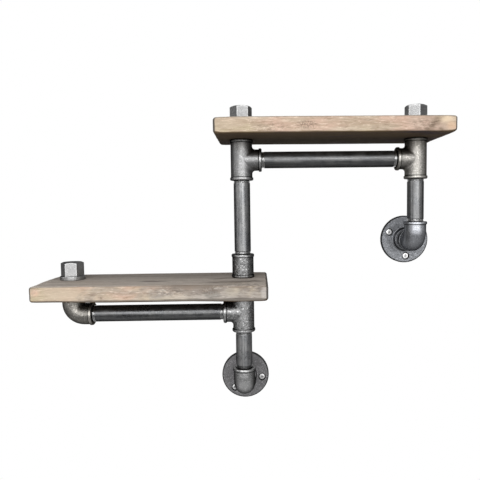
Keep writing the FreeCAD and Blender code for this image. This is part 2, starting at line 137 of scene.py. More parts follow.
def larger(tree, first, second):
    return calculate(tree, "MAXIMUM", first, second)


def unsigned(tree, value):
    return calculate(tree, "ABSOLUTE", value)


def flat_length(tree, first, second):
    """The length of a flat vector, from its two parts."""
    squared = plus(tree, times(tree, first, first), times(tree, second, second))
    return calculate(tree, "SQRT", squared)


def remap(tree, value, low, high, to_low=0.0, to_high=1.0):
    """Carries a value from one range to another, smoothly and clamped at the ends."""
    inputs = {"Value": value, "From Min": low, "From Max": high, "To Min": to_low, "To Max": to_high}
    return add(tree, "MapRange", inputs, interpolation_type="SMOOTHSTEP")


def mix(tree, share, first, second):
    """Mixes two colours."""
    node = tree.nodes.new("ShaderNodeMix")
    node.data_type = "RGBA"
    for name, value in (("Factor_Float", share), ("A_Color", first), ("B_Color", second)):
        wire(tree, next(item for item in node.inputs if item.identifier == name), value)
    return next(item for item in node.outputs if item.identifier == "Result_Color")


def coated(tree, colour, coats):
    """Lays colours over one another, each by its share."""
    for share, coat in coats:
        colour = mix(tree, share, colour, coat)
    return colour


def stretched(tree, point, scales):
    """A point scaled by its own factor along each axis."""
    return add(tree, "VectorMath", {0: point, 1: scales}, operation="MULTIPLY")


def multiplied(tree, colour, factor):
    """A colour made lighter or darker by a factor."""
    return add(tree, "VectorMath", {0: colour, "Scale": factor}, operation="SCALE")


def split(tree, vector):
    """A vector's parts, as outputs called X, Y and Z."""
    node = tree.nodes.new("ShaderNodeSeparateXYZ")
    wire(tree, node.inputs[0], vector)
    return node.outputs


def cloud(tree, point, scale, detail=3.0, roughness=0.55, distortion=0.0):
    """Noise from 0 to 1, mostly between 0.3 and 0.7."""
    inputs = {
        "Vector": point,
        "Scale": scale,
        "Detail": detail,
        "Roughness": roughness,
        "Distortion": distortion,
    }
    return add(tree, "TexNoise", inputs)


def grey(level, tint=(1.0, 1.0, 1.0)):
    """A colour of one lightness, tinted a little."""
    return (level * tint[0], level * tint[1], level * tint[2], 1.0)


def new_material(name):
    """A material with an empty tree, and its Principled shader."""
    material = bpy.data.materials.new(name)
    material.use_nodes = True
    tree = material.node_tree
    shader = tree.nodes["Principled BSDF"]
    return material, tree, shader


def object_point(tree):
    return tree.nodes.new("ShaderNodeTexCoord").outputs["Object"]


def facing_parts(tree):
    """The parts of the way a surface faces along X, Y and Z."""
    return split(tree, tree.nodes.new("ShaderNodeNewGeometry").outputs["Normal"])


def surface(tree, shader, colour, rough, height, relief):
    """Gives a shader its colour, its roughness, and a relief of a height from 0 to 1."""
    wire(tree, shader.inputs["Base Color"], colour)
    wire(tree, shader.inputs["Roughness"], rough)
    inputs = {"Height": height, "Distance": relief, "Strength": 1.0}
    wire(tree, shader.inputs["Normal"], add(tree, "Bump", inputs))


OCCLUSION_SAMPLES = 8


def openness(tree, reach, inside=False):
    """How open the room within reach of a point is, outside the surface or inside it, from 0 to 1."""
    node = tree.nodes.new("ShaderNodeAmbientOcclusion")
    node.samples = OCCLUSION_SAMPLES
    node.inside = inside
    node.inputs["Distance"].default_value = reach
    return node.outputs["AO"]


def crevice(tree, reach, open_level=0.88, closed_level=0.42):
    """How deep a point lies in a corner between surfaces, from 0 to 1."""
    return remap(tree, openness(tree, reach), open_level, closed_level)


def ridge(tree, reach):
    """How sharp a rim a point lies on, from 0 to 1."""
    return remap(tree, openness(tree, reach, inside=True), 0.97, 0.76)


def spot_field(tree, parts, spot):
    """How far a point is from the middle of a spot, as a share of its reach along X and Z."""
    (x, z), (wide, tall) = spot
    aside = times(tree, minus(tree, parts["X"], x), 1 / wide)
    rise = times(tree, minus(tree, parts["Z"], z), 1 / tall)
    return flat_length(tree, aside, rise)


# ---------------------------------------------------------------- metals

DARK_EDGE = grey(0.10)  # bare iron darkens where it is seen edge on
# Near-black painted shade for corners, grooves behind beads, countersinks and round plates' edges.
DEEPEST_SHADE = grey(0.015)
CORNER_SHADE = grey(0.02)
WARM_SHADE = (1.1, 1.0, 0.85)
COLD_FILM = (0.98, 1.0, 1.04)
CORNER_REACH = 6 * MM
GROOVE_REACH = 1.8 * MM
RIM_REACH = 2.6 * MM
CANOPY_REACH = 40 * MM
THREAD_CORNER = 2.4 * MM
SINK_RADIUS = 6.5 * MM


def metal_shader(shader, edge=DARK_EDGE):
    shader.inputs["Metallic"].default_value = 1.0
    shader.inputs["Specular Tint"].default_value = edge


def drawn_out(tree, point, axis, share):
    """A point with only a share of its place along one axis, so that patterns run along that axis."""
    return stretched(tree, point, tuple(share if name == axis else 1.0 for name in "xyz"))


def pipe_steel(name, axis, dark, light, wear_and_highlight, roughness):
    """Satin dark steel, drawn along one axis: faint draw lines, a mottled oil film, specks and rubs."""
    material, tree, shader = new_material(name)
    point = object_point(tree)
    drawing = drawn_out(tree, point, axis, 0.023)
    lines = cloud(tree, drawing, 620.0, 4.0)
    drawn = cloud(tree, drawing, 340.0, 3.0, 0.6)
    film = cloud(tree, point, 50.0, 5.0, 0.65)
    mottle = cloud(tree, point, 230.0, 4.0, 0.7)
    specks = cloud(tree, point, 480.0, 2.0)
    rubs = cloud(tree, drawn_out(tree, point, axis, 0.3), 400.0, 3.0, 0.7, 0.4)
    rise = facing_parts(tree)["Z"]
    coats = [
        (remap(tree, film, 0.35, 0.65), grey(light)),
        (remap(tree, drawn, 0.53, 0.60, 0.0, 0.4), grey(light * 1.5)),
        (remap(tree, drawn, 0.47, 0.40, 0.0, 0.5), grey(dark * 0.5)),
        (remap(tree, specks, 0.60, 0.68, 0.0, 0.4), grey(0.05)),
        (remap(tree, rubs, 0.54, 0.66, 0.0, wear_and_highlight), grey(light * 1.5)),
        # Painted light and shade: lighter on faces turned up, darker on faces turned down, near-black in
        # corners.
        (remap(tree, rise, 0.35, 0.95, 0.0, 0.7), grey(light * 1.9)),
        (remap(tree, rise, -0.3, -0.95, 0.0, 0.6), grey(dark * 0.4)),
        (times(tree, crevice(tree, CORNER_REACH), 0.9), CORNER_SHADE),
    ]
    colour = coated(tree, grey(dark, COLD_FILM), coats)
    smear = remap(tree, mottle, 0.3, 0.7, -0.06, 0.08)
    rough = plus(tree, smear, remap(tree, film, 0.3, 0.7, roughness - 0.05, roughness + 0.05))
    height = plus(tree, times(tree, lines, 0.5), times(tree, mottle, 0.45))
    surface(tree, shader, colour, rough, height, 0.14 * MM)
    metal_shader(shader)
    return material


def grains(tree, point, scale):
    """Round grains of random size and strength, light ones as painted glints and dark ones, each from 0 to
    1.
    """
    node = tree.nodes.new("ShaderNodeTexVoronoi")
    wire(tree, node.inputs["Vector"], point)
    node.inputs["Scale"].default_value = scale
    chance = split(tree, node.outputs["Color"])["X"]
    dot = remap(tree, node.outputs["Distance"], 0.62, 0.30)
    light = times(tree, dot, remap(tree, chance, 0.62, 0.95))
    dark = times(tree, dot, remap(tree, chance, 0.38, 0.05))
    return light, dark


def groove_and_sink_shade(tree, point, grooves, groove_share, sinks, edges):
    """Painted shade along grooves given by axis and place, round sunk screw heads, and at round plates'
    edges.
    """
    parts = split(tree, point)
    groove_shade = 0.0
    for axis, place in grooves:
        aside = unsigned(tree, minus(tree, parts[axis], place))
        groove_shade = larger(tree, groove_shade, remap(tree, aside, 1.5 * MM, 0.4 * MM, 0.0, groove_share))
    for place in sinks:
        field = spot_field(tree, parts, (place, (SINK_RADIUS, SINK_RADIUS)))
        groove_shade = larger(tree, groove_shade, remap(tree, field, 1.02, 0.94))
    for place, radius in edges:
        field = spot_field(tree, parts, (place, (radius, radius)))
        aside = unsigned(tree, minus(tree, field, 0.985))
        groove_shade = larger(tree, groove_shade, remap(tree, aside, 0.045, 0.02, 0.0, 0.85))
    return groove_shade


def cast_iron(
    name,
    dark,
    light,
    roughness,
    tint=(1.0, 1.0, 1.0),
    grain=1.0,
    rim=0.8,
    crevice_shade=0.9,
    relief=0.5,
    grit=560.0,
    canopy=0.0,
    flank=0.35,
    grooves=(),
    groove_share=0.6,
    sinks=(),
    edges=(),
):
    """Malleable iron as cast: sand grain, shallow pits and a mottled skin between a dark and a light.

    rim says how bright the painted highlight on front-facing rims is, crevice_shade how dark the
    painted shade in corners is, canopy how dark the painted shade and reflection near a board are, and
    flank how dark the painted shade on the sides is. relief is in millimetres, and grit is grains a metre.
    """
    material, tree, shader = new_material(name)
    point = object_point(tree)
    skin = cloud(tree, point, 60.0, 3.0, 0.5)
    sand = cloud(tree, point, 600.0, 4.0, 0.8)
    painted_glint, pits = grains(tree, point, grit)
    facing = facing_parts(tree)
    shadow = grey(dark * 0.35, tint)
    coats = [
        (remap(tree, skin, 0.3, 0.7), grey(light, tint)),
        (times(tree, pits, 0.7 * grain), grey(dark * 0.25, tint)),
        # The light grains are painted glints.
        (times(tree, painted_glint, 0.8 * grain), grey(light * 2.4, tint)),
        # Painted shade: darker on the sides, on faces turned down and on faces turned up.
        (remap(tree, unsigned(tree, facing["X"]), 0.45, 0.95, 0.0, flank), shadow),
        (remap(tree, facing["Z"], -0.3, -0.95, 0.0, 0.6), shadow),
        (remap(tree, facing["Z"], 0.5, 0.95, 0.0, 0.5), shadow),
    ]
    # Painted highlight: light grey along the rims of front-facing beads, with smoother gloss there.
    wear_and_highlight = times(tree, ridge(tree, RIM_REACH), remap(tree, facing["Y"], -0.45, -0.85, 0.0, rim))
    if canopy:
        # Painted shade near a board, tinted brown as a painted reflection of the wood above.
        shade = times(tree, crevice(tree, CANOPY_REACH, 0.9, 0.5), canopy)
        coats.append((shade, grey(dark * 0.35, WARM_SHADE)))
        wear_and_highlight = times(tree, wear_and_highlight, minus(tree, 1.0, shade))
    # Painted shade behind beads, round sunk screw heads and at round plates' edges, on faces to the front.
    groove_shade = groove_and_sink_shade(tree, point, grooves, groove_share, sinks, edges)
    coats += [
        # Near-black painted shade in corners and in tight grooves.
        (times(tree, crevice(tree, CORNER_REACH), crevice_shade), CORNER_SHADE),
        (times(tree, crevice(tree, GROOVE_REACH, 0.92, 0.55), crevice_shade), DEEPEST_SHADE),
        (wear_and_highlight, grey(0.80, tint)),
        (times(tree, groove_shade, remap(tree, facing["Y"], 0.2, -0.2)), DEEPEST_SHADE),
    ]
    colour = coated(tree, grey(dark, tint), coats)
    rough = remap(tree, sand, 0.3, 0.7, roughness - 0.10, roughness + 0.14)
    rough = minus(tree, rough, times(tree, wear_and_highlight, 0.12))
    height = minus(tree, sand, times(tree, pits, 0.3))
    height = times(tree, height, minus(tree, 1.0, times(tree, wear_and_highlight, 0.7)))
    surface(tree, shader, colour, rough, height, relief * MM * grain)
    metal_shader(shader)
    return material


def bright_steel(name, level, roughness, shadow, reach=THREAD_CORNER):
    """Bare cut or plated steel with fine scratches, with painted shade within reach of a corner."""
    material, tree, shader = new_material(name)
    point = object_point(tree)
    scratch = cloud(tree, stretched(tree, point, (300.0, 300.0, 2600.0)), 1.0, 3.0)
    cloudy = cloud(tree, point, 260.0, 3.0)
    coats = [
        (remap(tree, cloudy, 0.35, 0.65), grey(level)),
        # Near-black painted shade near a corner, as under a bead or in a screw's recess.
        (times(tree, crevice(tree, reach), shadow), grey(0.03)),
    ]
    colour = coated(tree, grey(level * 0.8), coats)
    rough = remap(tree, scratch, 0.3, 0.7, roughness - 0.06, roughness + 0.08)
    surface(tree, shader, colour, rough, scratch, 0.03 * MM)
    metal_shader(shader, grey(1.0))
    return material


# ---------------------------------------------------------------- wood

RING_STEP = 4.2 * MM
KNOT_SWELL = 16 * MM  # how far a knot pushes the rings round it
RING_WANDER = 9 * MM
CRACK_WANDER = 7 * MM
CRACK_FADE = 12 * MM
# Scales along X, Y and Z a metre, detail, roughness and distortion of the wood's patterns.
WOOD_PATTERNS = {
    "wander": ((5.0, 9.0, 9.0), 2.0, 0.55, 0.0),
    "fibre": ((45.0, 1100.0, 1100.0), 4.0, 0.7, 0.0),
    "fleck": ((24.0, 300.0, 300.0), 3.0, 0.6, 0.0),
    "dapple": ((90.0, 430.0, 430.0), 3.0, 0.65, 0.5),
    "streak": ((6.0, 110.0, 110.0), 4.0, 0.6, 0.0),
    "patch": ((11.0, 26.0, 26.0), 3.0, 0.55, 0.0),
    "stain": ((17.0, 40.0, 40.0), 4.0, 0.6, 0.8),
    "torn": ((170.0, 480.0, 480.0), 3.0, 0.7, 0.0),
    "hatch": ((560.0, 400.0, 400.0), 2.0, 0.5, 0.0),
}
# Coats of fresh and of weathered wood, and of the underside painted dark as shade: a pattern, the
# levels between which the coat comes in, its share and its colour.
TAN_BASE = ((0.44, 0.337, 0.248, 1.0), (0.59, 0.495, 0.385, 1.0))
TAN_STAINS = [
    ("patch", 0.46, 0.66, 0.8, (0.63, 0.43, 0.34, 1.0)),
    ("patch", 0.46, 0.30, 0.6, (0.56, 0.49, 0.32, 1.0)),
    ("stain", 0.56, 0.70, 0.5, (0.33, 0.25, 0.19, 1.0)),
]
TAN_GRAIN = [
    ("dapple", 0.54, 0.68, 0.65, (0.80, 0.66, 0.53, 1.0)),
    ("dapple", 0.46, 0.32, 0.6, (0.31, 0.22, 0.155, 1.0)),
    ("fleck", 0.40, 0.30, 0.4, (0.22, 0.165, 0.12, 1.0)),
    ("fibre", 0.5, 0.72, 0.35, (0.30, 0.225, 0.16, 1.0)),
]
WORN_BASE = ((0.25, 0.215, 0.19, 1.0), (0.46, 0.415, 0.37, 1.0))
WORN_GRAIN = [
    ("patch", 0.45, 0.72, 0.5, (0.33, 0.265, 0.20, 1.0)),
    ("dapple", 0.54, 0.68, 0.6, (0.64, 0.60, 0.54, 1.0)),
    ("dapple", 0.45, 0.32, 0.5, (0.15, 0.13, 0.115, 1.0)),
    ("fleck", 0.42, 0.30, 0.6, (0.10, 0.088, 0.08, 1.0)),
    ("fibre", 0.45, 0.7, 0.4, (0.18, 0.155, 0.135, 1.0)),
]
UNDERSIDE_SHADE_BASE = ((0.105, 0.072, 0.043, 1.0), (0.030, 0.024, 0.018, 1.0))
UNDERSIDE_SHADE_GRAIN = [
    ("streak", 0.48, 0.66, 0.6, (0.05, 0.034, 0.022, 1.0)),
    ("fleck", 0.5, 0.66, 0.4, (0.12, 0.085, 0.045, 1.0)),
    ("patch", 0.50, 0.68, 0.8, (0.050, 0.040, 0.047, 1.0)),
]
LATE_WOOD = (0.35, 0.25, 0.17, 1.0)
KNOT_HALO = (0.36, 0.27, 0.225, 1.0)
KNOT_CORE = (0.19, 0.14, 0.10, 1.0)
CALM_GREY = (0.33, 0.29, 0.255, 1.0)
SAWN_WOOD = (0.21, 0.16, 0.125, 1.0)
SCUFFED_WOOD = (0.21, 0.165, 0.13, 1.0)
LIFTED_FIBRE = (0.78, 0.66, 0.54, 1.0)
CRACK_DARK = (0.035, 0.028, 0.022, 1.0)
ARRIS_DIRT_AND_SHADE = (0.17, 0.135, 0.10, 1.0)
END_GRAIN = (0.16, 0.14, 0.125, 1.0)
END_ARRIS_DARK = (0.075, 0.068, 0.062, 1.0)


def grained(tree, patterns, colour, coats):
    """Lays coats over a colour, each where its pattern passes between two levels."""
    for name, low, high, share, coat in coats:
        colour = mix(tree, remap(tree, patterns[name], low, high, 0.0, share), colour, coat)
    return colour


def knot_field(tree, parts, knot):
    """How far a point is from a knot's leaning axis, in knot sizes along X and Z."""
    (x, z), lean, (wide, tall) = knot
    rise = minus(tree, parts["Z"], z)
    aside = minus(tree, minus(tree, parts["X"], x), times(tree, rise, lean))
    return flat_length(tree, times(tree, aside, 1 / wide), times(tree, rise, 1 / tall))


def drying_check(tree, parts, point, check):
    """A check along the grain in a board's top: a fine dark crack in a soft smear, faded at its ends."""
    (start, end), line = check
    waver = cloud(tree, stretched(tree, point, (16.0, 9.0, 9.0)), 1.0, 3.0, 0.45)
    place = plus(tree, parts["Y"], remap(tree, waver, 0.2, 0.8, -CRACK_WANDER, CRACK_WANDER))
    aside = unsigned(tree, minus(tree, place, line))
    begun = remap(tree, parts["X"], start - CRACK_FADE, start + CRACK_FADE)
    going = remap(tree, parts["X"], end + CRACK_FADE, end - CRACK_FADE)
    crack = remap(tree, aside, 2.2 * MM, 0.6 * MM)
    smear = remap(tree, aside, 11 * MM, 1.0 * MM, 0.0, 0.42)
    return times(tree, larger(tree, crack, smear), times(tree, begun, going))


def board_wood(
    name,
    node,
    pith,
    grey_zone,
    knots,
    sawn_place,
    scuff_places,
    checks,
    skirt,
    tints,
    soils,
):
    """Reclaimed softwood: rings about a pith line along X, fibre, stains, saw marks and weathered grey.

    grey_zone is where the grey comes in along X, and its share. skirt is the soiling and painted shade
    at the front's foot, its height and its colour. Spots are a middle and a reach in X and Z.
    """
    material, tree, shader = new_material(name)
    point = object_point(tree)
    parts = split(tree, point)
    patterns = {
        label: cloud(tree, stretched(tree, point, scales), 1.0, *look)
        for label, (scales, *look) in WOOD_PATTERNS.items()
    }
    low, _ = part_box(node)
    above = minus(tree, parts["Z"], low.z)
    depth = minus(tree, parts["Y"], low.y)

    radius = flat_length(tree, minus(tree, parts["Y"], pith[0]), minus(tree, parts["Z"], pith[1]))
    wander = remap(tree, patterns["wander"], 0.2, 0.8, -RING_WANDER, RING_WANDER)
    radius = plus(tree, radius, wander)
    core = 0.0
    halo = 0.0
    for knot in knots:
        field = knot_field(tree, parts, knot)
        radius = plus(tree, radius, remap(tree, field, 3.2, 0.0, 0.0, KNOT_SWELL))
        core = larger(tree, core, remap(tree, field, 1.5, 0.0))
        halo = larger(tree, halo, remap(tree, field, 4.0, 1.0))
    ring = calculate(tree, "FRACT", times(tree, radius, 1 / RING_STEP))
    late = calculate(tree, "POWER", ring, 3.0)

    sawn_zone = remap(tree, spot_field(tree, parts, sawn_place), 1.0, 0.4)
    sawn = times(tree, remap(tree, patterns["hatch"], 0.46, 0.58), sawn_zone)
    scuff = 0.0
    for place in scuff_places:
        scuff = larger(tree, scuff, remap(tree, spot_field(tree, parts, place), 1.1, 0.3))

    streaky = remap(tree, patterns["streak"], 0.3, 0.7)
    tan = grained(tree, patterns, mix(tree, streaky, *TAN_BASE), TAN_STAINS)
    tan = mix(tree, times(tree, late, 0.25), tan, LATE_WOOD)
    tan = grained(tree, patterns, tan, TAN_GRAIN)
    tan = mix(tree, times(tree, halo, 0.35), tan, KNOT_HALO)
    for spot, tint, share in tints:
        tan = mix(tree, remap(tree, spot_field(tree, parts, spot), 1.2, 0.2, 0.0, share), tan, tint)
    worn = grained(tree, patterns, mix(tree, streaky, *WORN_BASE), WORN_GRAIN)
    # Painted shade on the underside, over its wood grain, darker towards the wall.
    back_shade = remap(tree, depth, 4 * MM, 120 * MM)
    underside_shade = grained(tree, patterns, mix(tree, back_shade, *UNDERSIDE_SHADE_BASE), UNDERSIDE_SHADE_GRAIN)

    facing = facing_parts(tree)
    front = remap(tree, facing["Y"], -0.1, -0.5)
    top = remap(tree, facing["Z"], 0.5, 0.85)
    under = remap(tree, facing["Z"], -0.15, -0.60)
    upright = unsigned(tree, facing["Z"])
    sideways = unsigned(tree, facing["X"])
    arris = times(tree, remap(tree, upright, 0.12, 0.5), remap(tree, upright, 0.95, 0.75))
    corner = times(tree, remap(tree, sideways, 0.15, 0.5), remap(tree, sideways, 0.985, 0.9))
    end = remap(tree, sideways, 0.22, 0.7)

    ragged = remap(tree, patterns["stain"], 0.35, 0.65, -0.4, 0.4)
    grey_start, grey_end, greyest = grey_zone
    grey_share = remap(tree, parts["X"], grey_start, grey_end)
    grey_share = times(tree, calculate(tree, "ADD", grey_share, ragged, clamp=True), greyest)
    # Painted light on the top: lighter towards the front, darker towards the wall.
    top_light_falloff = remap(tree, depth, 0.0, 130 * MM, 1.66, 0.90)
    dusty_lit_top = multiplied(tree, mix(tree, 0.45, worn, CALM_GREY), top_light_falloff)
    weathered = larger(tree, larger(tree, top, grey_share), end)
    colour = mix(tree, weathered, tan, mix(tree, top, worn, dusty_lit_top))
    fleck_shift = remap(tree, patterns["fleck"], 0.3, 0.7, -0.25, 0.25)
    for spot, soil, share in soils:
        field = plus(tree, spot_field(tree, parts, spot), fleck_shift)
        colour = mix(tree, times(tree, remap(tree, field, 1.15, 0.55, 0.0, share), front), colour, soil)

    torn = patterns["torn"]
    fibrous = times(tree, remap(tree, torn, 0.47, 0.62), scuff)
    lifted = times(tree, remap(tree, torn, 0.45, 0.32), scuff)
    core = times(tree, core, remap(tree, torn, 0.38, 0.58, 0.5, 0.95))
    drying = 0.0
    for check in checks:
        drying = larger(tree, drying, drying_check(tree, parts, point, check))
    foot = plus(tree, above, remap(tree, patterns["fleck"], 0.3, 0.7, -0.8 * MM, 0.8 * MM))
    skirt_height, foot_dirt_and_shade = skirt
    foot = times(tree, remap(tree, foot, skirt_height, skirt_height * 0.35), front)
    coats = [
        (times(tree, sawn, 0.60), SAWN_WOOD),
        (times(tree, fibrous, 0.60), SCUFFED_WOOD),
        (times(tree, lifted, 0.55), LIFTED_FIBRE),
        (core, KNOT_CORE),
        (times(tree, times(tree, drying, top), 0.85), CRACK_DARK),
        # Soiling and painted shade along the rounded arrises.
        (times(tree, arris, 0.45), ARRIS_DIRT_AND_SHADE),
        # Soiling and painted shade at the front's foot.
        (times(tree, foot, 0.75), foot_dirt_and_shade),
        (times(tree, end, 0.5), END_GRAIN),
        # Darker along the rounded arrises at the board's ends.
        (times(tree, corner, 0.8), END_ARRIS_DARK),
        # The underside painted dark as shade.
        (times(tree, under, 0.95), underside_shade),
    ]
    height = 0.0
    for raised in ("fibre", "fleck", "streak"):
        height = plus(tree, height, times(tree, patterns[raised], 0.6))
    height = minus(tree, height, times(tree, late, 0.2))
    height = minus(tree, height, times(tree, sawn, 0.5))
    rough = remap(tree, patterns["fibre"], 0.3, 0.7, 0.75, 0.95)
    surface(tree, shader, coated(tree, colour, coats), rough, height, 0.6 * MM)
    shader.inputs["Specular IOR Level"].default_value = 0.08
    return material


# ---------------------------------------------------------------- stage and light

WORLD_LEVEL = 0.24
LIGHT_TARGET = Vector((0.0, 0.0, 0.28))
# Place, width and height in metres, and radiance.
SOFT_BOXES = {
    "far_left_box": ((-1.9, -0.8, 0.6), 0.9, 0.9, 1.7),
    "far_right_box": ((1.9, -0.8, 0.6), 0.9, 0.9, 0.6),
    "left_box": ((-1.05, -2.0, 0.78), 0.7, 0.72, 2.5),
    "middle_box": ((-0.35, -2.0, 0.78), 0.7, 0.72, 4.8),
    "key_box": ((0.35, -2.0, 0.78), 0.7, 0.72, 5.2),
    "right_box": ((1.05, -2.0, 0.78), 0.7, 0.72, 4.0),
    "low_left_fill": ((-0.9, -2.0, 0.08), 1.8, 0.66, 2.0),
    "low_right_fill": ((0.9, -2.0, 0.08), 1.8, 0.66, 2.0),
    "upper_left_box": ((-0.72, -2.0, 1.68), 1.6, 0.8, 2.3),
    "back_box": ((0.0, 1.5, 1.5), 2.0, 1.0, 0.5),
}
FLOOR_HEIGHT = -1.6
FLOOR_HALF = 4.0
BACKDROP_DISTANCE = 2.45
BACKDROP_HALF = 1.85
BACKDROP_HEIGHT = 3.6


def plate(name, corners, material):
    """A flat sheet that belongs to the stage."""
    mesh = bpy.data.meshes.new(name)
    mesh.from_pydata(corners, [], [tuple(range(len(corners)))])
    mesh.materials.append(material)
    piece = bpy.data.objects.new(name, mesh)
    scene.collection.objects.link(piece)


def floor_material():
    material, tree, shader = new_material("pale_floor")
    tone = cloud(tree, object_point(tree), 3.0, 2.0)
    wire(tree, shader.inputs["Base Color"], mix(tree, tone, grey(0.78), grey(0.82)))
    shader.inputs["Roughness"].default_value = 0.8
    return material


def backdrop_material():
    """A white sheet, seen as white by the camera and in the metal's and glass's reflections."""
    material = bpy.data.materials.new("white_backdrop")
    material.use_nodes = True
    tree = material.node_tree
    tree.nodes.clear()
    rays = tree.nodes.new("ShaderNodeLightPath").outputs
    seen = larger(tree, rays["Is Camera Ray"], rays["Is Glossy Ray"])
    seen = larger(tree, seen, rays["Is Transmission Ray"])
    cloth = add(tree, "BsdfDiffuse", {"Color": grey(0.8)})
    light = add(tree, "Emission", {"Color": grey(1.0), "Strength": 1.0})
    output = tree.nodes.new("ShaderNodeOutputMaterial")
    wire(tree, output.inputs["Surface"], add(tree, "MixShader", {0: seen, 1: cloth, 2: light}))
    return material


def add_stage():
    square = [(-1, -1), (1, -1), (1, 1), (-1, 1)]
    floor = [(x * FLOOR_HALF, y * FLOOR_HALF, FLOOR_HEIGHT) for x, y in square]
    plate("floor", floor, floor_material())
    heights = {-1: FLOOR_HEIGHT + 1 * MM, 1: FLOOR_HEIGHT + BACKDROP_HEIGHT}
    backdrop = [(x * BACKDROP_HALF, BACKDROP_DISTANCE, heights[z]) for x, z in square]
    plate("backdrop", backdrop, backdrop_material())


def soft_box(name, place, width, height, radiance):
    data = bpy.data.lights.new(name, "AREA")
    data.shape = "RECTANGLE"
    data.size = width
    data.size_y = height
    data.energy = radiance * math.pi * width * height
    lamp = bpy.data.objects.new(name, data)
    lamp.location = place
    lamp.rotation_euler = (LIGHT_TARGET - Vector(place)).to_track_quat("-Z", "Y").to_euler()
    lamp.visible_camera = False
    scene.collection.objects.link(lamp)


def add_lights():
    """A row of soft boxes in front, brightest in the middle, a low fill, one above and one behind."""
    for name, (place, width, height, radiance) in SOFT_BOXES.items():
        soft_box(name, place, width, height, radiance)
    world = bpy.data.worlds.new("world")
    world.use_nodes = True
    background = world.node_tree.nodes["Background"]
    background.inputs["Color"].default_value = grey(1.0)
    background.inputs["Strength"].default_value = WORLD_LEVEL
    scene.world = world
    scene.view_settings.view_transform = "Standard"


# ---------------------------------------------------------------- finishes of the CAD pieces

SCREW_CIRCLE = 30.0 * MM
SCREW_COUNT = 3
SCREW_TURNS = {"upper_wall_flange": 34.5, "lower_wall_flange": -9.5}  # degrees from +X towards +Z
BEAD_WIDTH = 5.0 * MM
# The axis of each of a fitting's mouths in view, and its end of the fitting's box.
MOUTHS = {
    "lower_tee": (("X", 0), ("Z", 0), ("Z", 1)),
    "lower_left_elbow": (("X", 1), ("Z", 1)),
    "riser_socket": (("Z", 0), ("Z", 1)),
    "upper_left_tee": (("X", 1), ("Z", 0), ("Z", 1)),
    "upper_right_tee": (("X", 0), ("Z", 0), ("Z", 1)),
    "upper_wall_elbow": (("Y", 1), ("Z", 1)),
    "lower_wall_elbow": (("Y", 1), ("Z", 1)),
}
# Axis, dark and light level, share of rubs and roughness of each pipe. The differences in level
# from pipe to pipe are painted light, lighter where a pipe catches less light, as the lower drop does.
STEELS = {
    "upper_rail_pipe": ("x", 0.115, 0.155, 0.2, 0.40),
    "lower_rail_pipe": ("x", 0.115, 0.16, 0.3, 0.32),
    "upper_wall_nipple": ("y", 0.08, 0.12, 0.45, 0.32),
    "lower_wall_nipple": ("y", 0.08, 0.12, 0.45, 0.32),
    "riser_pipe": ("z", 0.14, 0.20, 0.35, 0.30),
    "upper_drop_pipe": ("z", 0.13, 0.18, 0.35, 0.32),
    "lower_drop_pipe": ("z", 0.255, 0.345, 0.35, 0.32),
}
HIDDEN_STEEL = ("z", 0.14, 0.205, 0.45, 0.32)
WARM, COOL, BROWN, NEUTRAL = (1.04, 1.0, 0.93), (0.96, 0.99, 1.05), (1.05, 1.0, 0.92), (1.0, 0.985, 1.01)
CAP = {"rim": 0.3, "crevice_shade": 0.1, "flank": 0.0}
FLANGE = {"grain": 0.7, "rim": 0.0, "flank": 0.0}
# Dark and light level, roughness and special looks of each casting. The differences in level from
# piece to piece are painted light, lighter where a piece catches less light.
CASTINGS = {
    "lower_tee": (0.235, 0.30, 0.28, {"grit": 430.0, "canopy": 0.4}),
    "lower_left_elbow": (0.225, 0.285, 0.33, {"tint": BROWN, "grain": 0.8, "canopy": 0.2, "flank": 0.5}),
    "riser_socket": (0.17, 0.215, 0.22, {"rim": 0.45, "relief": 0.26, "grit": 340.0, "flank": 0.25}),
    "upper_left_tee": (0.20, 0.245, 0.37, {"grain": 0.55, "rim": 0.5, "canopy": 0.8}),
    "upper_right_tee": (0.245, 0.30, 0.35, {"tint": WARM, "grain": 0.7, "rim": 0.55, "canopy": 0.85}),
    "upper_wall_elbow": (0.37, 0.43, 0.33, {"tint": COOL, "grain": 0.35, "rim": 0.35, "flank": 0.5}),
    "lower_wall_elbow": (0.49, 0.58, 0.27, {"grain": 0.4, "rim": 1.0, "flank": 0.85, "groove_share": 1.0}),
    "upper_left_hex_cap": (0.28, 0.32, 0.46, {"grain": 0.15, **CAP}),
    "lower_left_hex_cap": (0.33, 0.385, 0.37, {"grain": 0.25, **CAP}),
    "upper_right_hex_cap": (0.24, 0.28, 0.31, {"grain": 0.15, **CAP}),
    "upper_wall_flange": (0.19, 0.225, 0.42, {"tint": COOL, **FLANGE}),
    "lower_wall_flange": (0.20, 0.235, 0.42, {"tint": NEUTRAL, **FLANGE}),
}


def bead_backs(node):
    """The axis and place of the shoulder behind each bead of a fitting."""
    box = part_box(node)
    backs = []
    for axis, end in MOUTHS[node]:
        mouth = box[end]["XYZ".index(axis)]
        backs.append((axis, mouth - BEAD_WIDTH if end else mouth + BEAD_WIDTH))
    return backs


def screw_places(flange):
    """Where the screws' axes meet the wall."""
    low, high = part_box(flange)
    centre = Vector(((low.x + high.x) / 2, 0.0, (low.z + high.z) / 2))
    places = []
    for number in range(SCREW_COUNT):
        turn = math.radians(SCREW_TURNS[flange] + 360 / SCREW_COUNT * number)
        places.append(centre + SCREW_CIRCLE * Vector((math.cos(turn), 0.0, math.sin(turn))))
    return places


